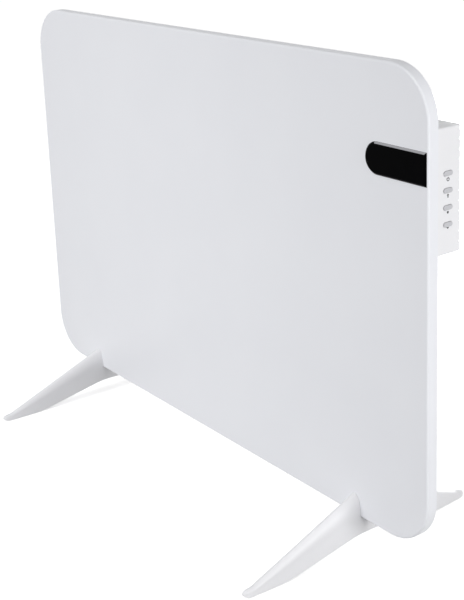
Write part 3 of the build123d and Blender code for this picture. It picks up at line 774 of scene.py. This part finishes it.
bmesh.ops.remove_doubles(lid, verts=lid.verts, dist=same_point)
bmesh.ops.recalc_face_normals(lid, faces=lid.faces)
bmesh.ops.solidify(lid, geom=lid.faces, thickness=lid_wall)
close(lid)
finish_piece("box_lid", lid, white_plastic, "white_plastic", "control_cover", edge=0.2 * mm, turn=50.0)
refined("cord_bush", "cord_gland", white_plastic, "white_plastic", edge=0.3 * mm)
white_plastic.on("cord_gland_nut")


# Inside of the control box
# The power board carries the transformer, relay, capacitors, buzzer, fuse and terminal block. A
# tip-over switch and a room sensor stand beside it, and a narrow board carries the four switches.
board_green = plain_finish(
    "board_green", (0.015, 0.10, 0.035), (0.03, 0.16, 0.06),
    size=1.5 * mm, rough=0.35, rough_range=0.15, height=0.003 * mm,
)
board_green.on("power_board", "button_board", "display_board")
black_part = plain_finish(
    "black_part", (0.015, 0.015, 0.016), (0.04, 0.04, 0.042),
    size=0.7 * mm, rough=0.4, rough_range=0.2, height=0.006 * mm,
)
black_part.on("transformer", "buzzer", "tact_switches", "tip_over_switch", "room_sensor")
black_part.on("display_module")
blue_part = plain_finish(
    "blue_relay", (0.02, 0.08, 0.3), (0.04, 0.13, 0.42),
    size=2 * mm, rough=0.35, rough_range=0.1, height=0.003 * mm,
)
blue_part.on("relay", "capacitors")
green_part = plain_finish(
    "green_terminal", (0.03, 0.25, 0.1), (0.05, 0.34, 0.15),
    size=2 * mm, rough=0.4, rough_range=0.1, height=0.003 * mm,
)
green_part.on("terminal_block")
fuse_glass = plain_finish(
    "fuse_glass", (0.6, 0.62, 0.62), (0.75, 0.77, 0.77),
    size=2 * mm, rough=0.08, rough_range=0.05, height=0.001 * mm,
)
fuse_glass.on("fuse")


# Buttons
# Four oval caps in the side wall, light grey, each on the plunger of its switch. Under each a small
# dark sign is pad-printed: on and off, more, mode and less.
grey_plastic = Finish("button_grey", {"Specular IOR Level": 0.4})
button_spark = grey_plastic.noise(0.4 * mm, detail=3.0)
grey_plastic.surface(
    (0.52, 0.52, 0.545), (0.58, 0.58, 0.605), tone=grey_plastic.noise(8 * mm),
    rough=0.4 + button_spark * 0.12, grain=button_spark, height=0.006 * mm,
)
for name in ("power", "up", "mode", "down"):
    refined(f"{name}_cap", f"button_{name}", grey_plastic, "button_grey", edge=0.2 * mm)
    black_part.on(f"plunger_{name}")

ink = plain_finish(
    "sign_ink", (0.03, 0.03, 0.034), (0.05, 0.05, 0.054),
    size=0.3 * mm, rough=0.55, rough_range=0.15, height=0.002 * mm,
)
ink_height = 0.03 * mm


def sign(name, node, drop, outlines):
    """A printed sign: flat outlines in Y and Z below a button, raised by the ink's thickness."""
    low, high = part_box(node)
    middle = (low + high) / 2
    form = bmesh.new()
    for outline in outlines:
        points = [(housing_high.x, middle.y + y, middle.z - drop + z) for y, z in outline]
        form.faces.new([form.verts.new(point) for point in points])
    bmesh.ops.remove_doubles(form, verts=form.verts, dist=same_point)
    grown = bmesh.ops.extrude_face_region(form, geom=form.faces[:])["geom"]
    raised = [g for g in grown if isinstance(g, bmesh.types.BMVert)]
    bmesh.ops.translate(form, vec=(ink_height, 0, 0), verts=raised)
    bmesh.ops.recalc_face_normals(form, faces=form.faces)
    finish_piece(name, form, ink, "part_black")


def arc_band(inner, outer, start, end, steps=24):
    """Quads along an arc, as outlines of (y, z) points; angles in degrees from straight up."""
    angles = [math.radians(start + (end - start) * i / steps) for i in range(steps + 1)]
    return [
        [(r * math.sin(t), r * math.cos(t)) for r, t in ((inner, a), (outer, a), (outer, b), (inner, b))]
        for a, b in zip(angles, angles[1:])
    ]


def bar(half_width, bottom, top):
    """An upright bar as an outline."""
    return [(-half_width, bottom), (half_width, bottom), (half_width, top), (-half_width, top)]


def arrow_head(half_width, base, tip):
    """A triangle as an outline, with its tip up or down."""
    return [(-half_width, base), (half_width, base), (0.0, tip)]


power_ring = 2.4 * mm
power_line = 1.0 * mm
power_gap = 25.0
power_sign = arc_band(power_ring - power_line, power_ring, power_gap, 360.0 - power_gap)
power_sign += [bar(power_line / 2, 0.5 * mm, 2.8 * mm)]
sign("power_sign", "button_power", 7.1 * mm, power_sign)
arrow_base = 0.4 * mm
arrow = [arrow_head(2.1 * mm, arrow_base, 2.5 * mm), bar(0.8 * mm, -2.3 * mm, arrow_base)]
sign("more_sign", "button_up", 6.4 * mm, arrow)
dot_radius = 1.6 * mm
dot_steps = 32
turns = [math.tau * i / dot_steps for i in range(dot_steps)]
dot = [(dot_radius * math.sin(t), dot_radius * math.cos(t)) for t in turns]
sign("mode_sign", "button_mode", 5.8 * mm, [dot])
sign("less_sign", "button_down", 4.2 * mm, [arrow_head(2.3 * mm, 0.7 * mm, -1.4 * mm)])


# Display lens
# Black acrylic with a wide bevel, stuck on the tray over the display. It is half round at
# the left and runs square to the panel's edge at the right. The upward-facing part of the bevel
# is painted light grey as a painted highlight, where the top bevel catches the light.
gloss = plain_finish(
    "lens_gloss", (0.001, 0.001, 0.0012), (0.002, 0.002, 0.0022),
    size=30 * mm, rough=0.12, rough_range=0.04, height=0.0, constants={"IOR": 1.06},
)
# Painted highlight: a light grey for the lens's top bevel only, standing in for the light it catches.
painted_bevel_highlight = plain_finish(
    "lens_top_bevel_painted_highlight", (0.30, 0.30, 0.32), (0.38, 0.38, 0.40),
    size=0.5 * mm, rough=0.4, rough_range=0.15, height=0.002 * mm,
)
lens = refined("lens", "display_lens", gloss, "lens_black", edge=0.0, turn=20.0)
lens.data.materials.append(painted_bevel_highlight.material)
# Only the upward-facing bevel faces get the painted highlight grey; the rest stays gloss black.
for face in lens.data.polygons:
    on_top_bevel = face.normal.z > 0.5 and abs(face.normal.x) < 0.1 and face.normal.y < -0.2
    face.material_index = 1 if on_top_bevel else 0
